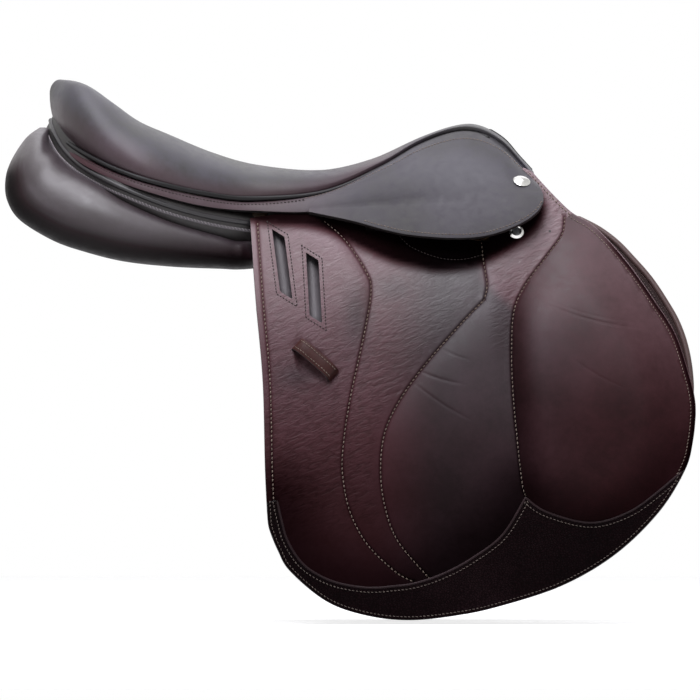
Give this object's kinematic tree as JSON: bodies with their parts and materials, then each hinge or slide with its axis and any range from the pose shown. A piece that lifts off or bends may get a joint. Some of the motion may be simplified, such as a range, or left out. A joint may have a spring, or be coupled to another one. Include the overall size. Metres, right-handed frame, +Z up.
{
  "type": "jumping saddle",
  "caption": "Close-contact jumping saddle with a dished leather seat, lifting skirts and forward flaps, padded panels and girth straps under the flaps.",
  "frame": {"origin": "on the mid-plane under the lowest point of the seat, level with the panels' inner edges", "axes": "+X towards the horse's head, +Y to its left side, +Z up"},
  "size_m": [0.633, 0.3948, 0.4974],
  "materials": {
    "seat": "satin",
    "skirt": "satin",
    "flap": "satin",
    "pad": "satin",
    "patch": "grained",
    "panel": "satin",
    "strap": "satin",
    "bead": "satin",
    "steel": "satin",
    "silver": "polished",
    "tree": "lacquered",
    "web": "woven",
    "foam": "foam",
    "felt": "felt"
  },
  "bodies": {
    "saddle": {"tree_frame": "tree", "head_plate": "steel", "gullet_plate": "steel", "plate_rivets": "steel", "spring_left": "steel", "spring_right": "steel", "seat_web": "web", "girth_web_front": "web", "girth_web_rear": "web", "seat_foam": "foam", "seat_cover": "seat", "seat_welt_left": "bead", "seat_welt_right": "bead", "skirt_base_left": "skirt", "skirt_base_right": "skirt", "saddle_nails": "silver", "stirrup_bar_left": "steel", "stirrup_bar_right": "steel", "bar_rivets": "steel", "catch_pins": "steel", "flap_head_left": "flap", "flap_head_right": "flap", "packing_left": "felt", "packing_right": "felt", "cup_washers": "silver", "panel_screws": "steel", "panel_left": "panel", "panel_right": "panel", "panel_facing": "panel", "sweat_flap_left": "flap", "sweat_flap_right": "flap", "sweat_binding_left": "flap", "sweat_binding_right": "flap"},
    "flap_left": {"flap_left": "flap", "knee_pad_left": "pad", "wear_patch_left": "patch", "keeper_left": "flap"},
    "skirt_left": {"skirt_left": "skirt"},
    "bar_catch_left": {"bar_catch_left": "steel"},
    "billet_front_left": {"billet_front_left": "strap"},
    "billet_rear_left": {"billet_rear_left": "strap"},
    "flap_right": {"flap_right": "flap", "knee_pad_right": "pad", "wear_patch_right": "patch", "keeper_right": "flap"},
    "skirt_right": {"skirt_right": "skirt"},
    "bar_catch_right": {"bar_catch_right": "steel"},
    "billet_front_right": {"billet_front_right": "strap"},
    "billet_rear_right": {"billet_rear_right": "strap"}
  },
  "joints": [
    {"name": "flap_lift_left", "type": "hinge", "parent": "saddle", "child": "flap_left", "pos_m": [0.00014, 0.11067, 0.00149], "axis": [0.9954, 0, -0.0958], "range_deg": [0, 75]},
    {"name": "skirt_lift_left", "type": "hinge", "parent": "saddle", "child": "skirt_left", "pos_m": [-0.00116, 0.11, 0.01896], "axis": [0.9981, 0, 0.061], "range_deg": [0, 70]},
    {"name": "bar_catch_left", "type": "hinge", "parent": "saddle", "child": "bar_catch_left", "pos_m": [0.09, 0.09791, 0.0102], "axis": [0, 0.9285, 0.3714], "range_deg": [0, 80]},
    {"name": "billet_swing_front_left", "type": "hinge", "parent": "saddle", "child": "billet_front_left", "pos_m": [0.007, 0.1003, 0.00333], "axis": [-0.0415, -0.9015, -0.4307], "range_deg": [0, 6]},
    {"name": "billet_swing_rear_left", "type": "hinge", "parent": "saddle", "child": "billet_rear_left", "pos_m": [-0.0195, 0.1003, 0.00587], "axis": [-0.0415, -0.9015, -0.4307], "range_deg": [0, 6]},
    {"name": "flap_lift_right", "type": "hinge", "parent": "saddle", "child": "flap_right", "pos_m": [0.00014, -0.11067, 0.00149], "axis": [-0.9954, 0, 0.0958], "range_deg": [0, 75]},
    {"name": "skirt_lift_right", "type": "hinge", "parent": "saddle", "child": "skirt_right", "pos_m": [-0.00116, -0.11, 0.01896], "axis": [-0.9981, 0, -0.061], "range_deg": [0, 70]},
    {"name": "bar_catch_right", "type": "hinge", "parent": "saddle", "child": "bar_catch_right", "pos_m": [0.09, -0.09791, 0.0102], "axis": [0, 0.9285, -0.3714], "range_deg": [0, 80]},
    {"name": "billet_swing_front_right", "type": "hinge", "parent": "saddle", "child": "billet_front_right", "pos_m": [0.007, -0.1003, 0.00333], "axis": [0.0415, -0.9015, 0.4307], "range_deg": [0, 6]},
    {"name": "billet_swing_rear_right", "type": "hinge", "parent": "saddle", "child": "billet_rear_right", "pos_m": [-0.0195, -0.1003, 0.00587], "axis": [0.0415, -0.9015, 0.4307], "range_deg": [0, 6]}
  ],
  "couplings": [
    {"joint": "billet_swing_rear_left", "follows": "billet_swing_front_left", "ratio": 1},
    {"joint": "billet_swing_rear_right", "follows": "billet_swing_front_right", "ratio": 1}
  ]
}
